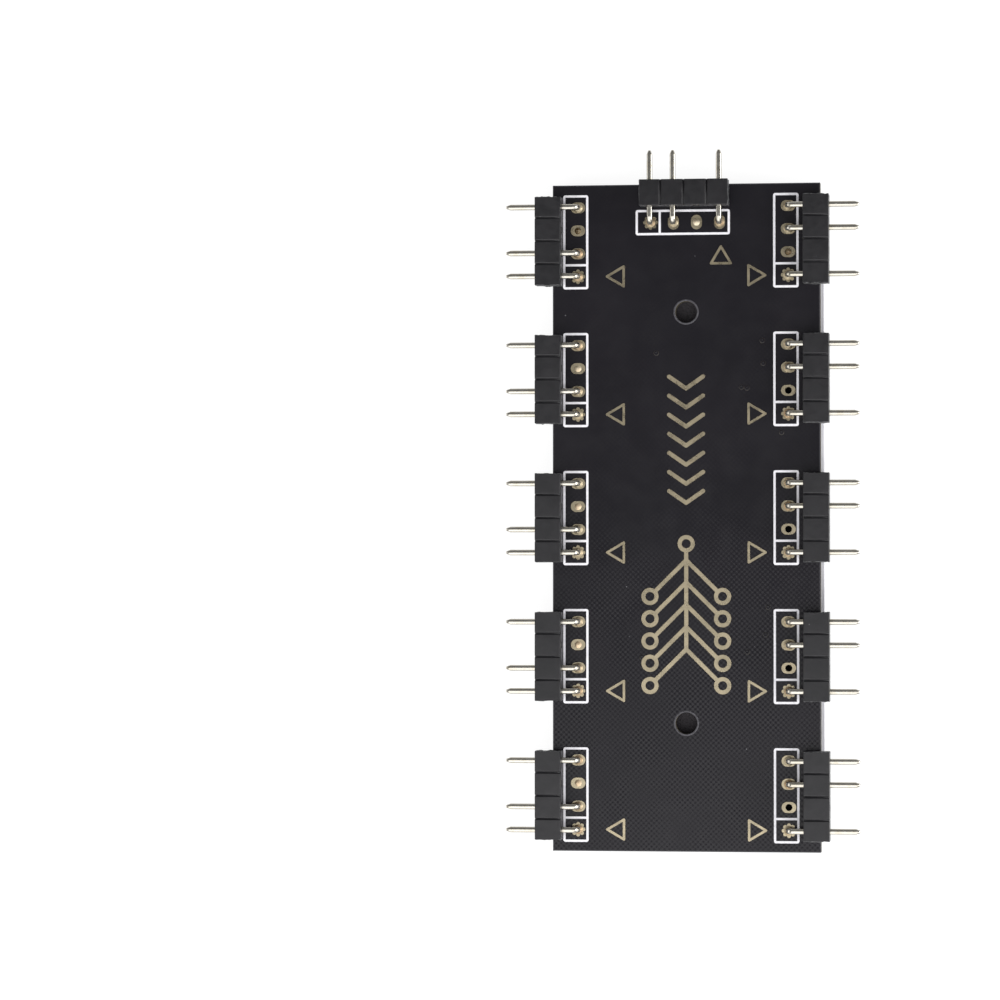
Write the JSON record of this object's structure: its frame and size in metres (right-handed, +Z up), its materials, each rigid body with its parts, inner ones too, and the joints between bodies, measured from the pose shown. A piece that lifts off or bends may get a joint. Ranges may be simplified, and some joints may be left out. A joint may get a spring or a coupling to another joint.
{
  "type": "addressable rgb hub",
  "caption": "Flat black splitter board with right-angle pin headers on both long edges, an input header on one end and an adhesive foam back.",
  "frame": {"origin": "centre of the board's outline, on the face of the liner that the part rests on", "axes": "+X across the board to the right row of headers, +Y along the board to the input header, +Z up"},
  "size_m": [0.0389, 0.0771, 0.0063],
  "materials": {
    "solder_mask": "satin",
    "foam": "matte",
    "liner_paper": "satin",
    "housing_plastic": "satin",
    "pin_gold": "polished",
    "pad_gold": "satin",
    "solder_metal": "satin",
    "white_print": "matte"
  },
  "bodies": {
    "root": {"circuit_board": "solder_mask", "foam_pad": "foam", "release_liner": "liner_paper", "left_1_housing": "housing_plastic", "left_2_housing": "housing_plastic", "left_3_housing": "housing_plastic", "left_4_housing": "housing_plastic", "left_5_housing": "housing_plastic", "right_1_housing": "housing_plastic", "right_2_housing": "housing_plastic", "right_3_housing": "housing_plastic", "right_4_housing": "housing_plastic", "right_5_housing": "housing_plastic", "input_housing": "housing_plastic", "left_1_pin_1": "pin_gold", "left_1_pin_3": "pin_gold", "left_1_pin_4": "pin_gold", "left_2_pin_1": "pin_gold", "left_2_pin_3": "pin_gold", "left_2_pin_4": "pin_gold", "left_3_pin_1": "pin_gold", "left_3_pin_3": "pin_gold", "left_3_pin_4": "pin_gold", "left_4_pin_1": "pin_gold", "left_4_pin_3": "pin_gold", "left_4_pin_4": "pin_gold", "left_5_pin_1": "pin_gold", "left_5_pin_3": "pin_gold", "left_5_pin_4": "pin_gold", "right_1_pin_1": "pin_gold", "right_1_pin_2": "pin_gold", "right_1_pin_4": "pin_gold", "right_2_pin_1": "pin_gold", "right_2_pin_2": "pin_gold", "right_2_pin_4": "pin_gold", "right_3_pin_1": "pin_gold", "right_3_pin_2": "pin_gold", "right_3_pin_4": "pin_gold", "right_4_pin_1": "pin_gold", "right_4_pin_2": "pin_gold", "right_4_pin_4": "pin_gold", "right_5_pin_1": "pin_gold", "right_5_pin_2": "pin_gold", "right_5_pin_4": "pin_gold", "input_pin_1": "pin_gold", "input_pin_2": "pin_gold", "input_pin_4": "pin_gold", "left_pads": "pad_gold", "left_solder": "solder_metal", "right_pads": "pad_gold", "right_solder": "solder_metal", "input_pads": "pad_gold", "input_solder": "solder_metal", "header_outlines": "white_print", "pin_one_marks": "pad_gold", "flow_chevrons": "pad_gold", "branch_tree": "pad_gold"}
  },
  "joints": []
}
